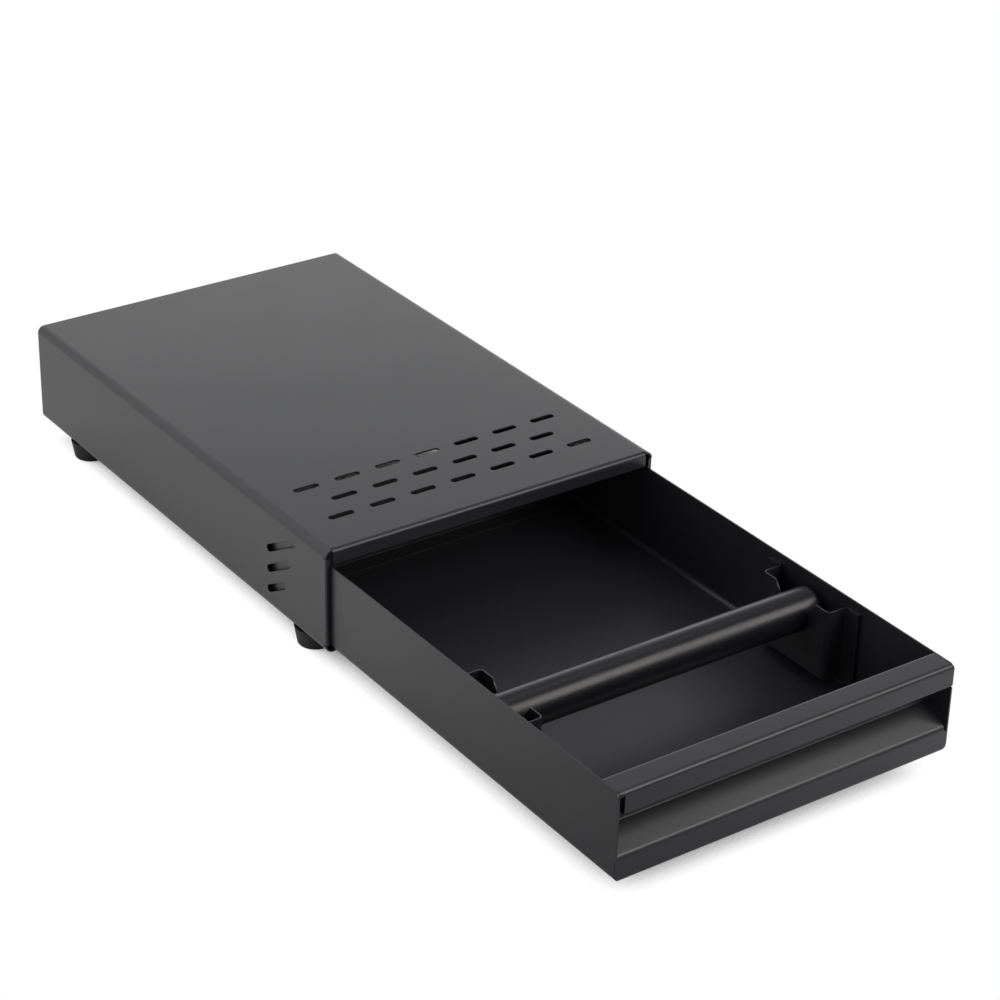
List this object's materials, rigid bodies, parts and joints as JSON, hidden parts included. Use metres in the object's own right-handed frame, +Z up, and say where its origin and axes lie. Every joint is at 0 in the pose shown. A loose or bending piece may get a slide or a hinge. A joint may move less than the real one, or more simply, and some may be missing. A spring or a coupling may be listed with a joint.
{
  "type": "coffee knock drawer",
  "caption": "Flat sheet-steel casing on rubber feet with a pull-out drawer; a rubber-covered knock bar lies in saddle brackets inside the drawer.",
  "frame": {"origin": "on the table, under the middle of the outline with the drawer pulled out as stored", "axes": "+Z up, -Y towards the user, the way the drawer opens, +X to the user's right"},
  "size_m": [0.25, 0.676, 0.085],
  "materials": {
    "coat": "fine-grained satin black powder coat",
    "foot_rubber": "matte moulded rubber",
    "bar_rubber": "satin moulded rubber",
    "glide": "natural polyamide",
    "steel": "bright zinc plate",
    "plug": "matte moulded plastic"
  },
  "bodies": {
    "casing": {"casing_shell": "coat", "rear_panel": "coat", "glide_strip_left": "glide", "glide_strip_right": "glide", "closing_bumpers": "foot_rubber", "foot_front_left": "foot_rubber", "foot_front_right": "foot_rubber", "foot_rear_left": "foot_rubber", "foot_rear_right": "foot_rubber", "foot_studs": "steel", "foot_washers": "steel", "foot_nuts": "steel"},
    "drawer": {"drawer_tray": "coat", "drawer_rear_wall": "coat", "drawer_front": "coat", "bar_bracket_left": "coat", "bar_bracket_right": "coat", "rear_glide_left": "glide", "rear_glide_right": "glide", "glide_rivets": "steel"},
    "knock_bar": {"bar_core": "steel", "bar_sleeve": "bar_rubber", "bar_plug_left": "plug", "bar_plug_right": "plug"}
  },
  "joints": [
    {"name": "drawer_slide", "type": "slide", "parent": "casing", "child": "drawer", "axis": [0, -1, 0], "range_m": [-0.292, 0.059]},
    {"name": "bar_lift", "type": "slide", "parent": "drawer", "child": "knock_bar", "axis": [0, 0, 1], "range_m": [0, 0.05]}
  ]
}
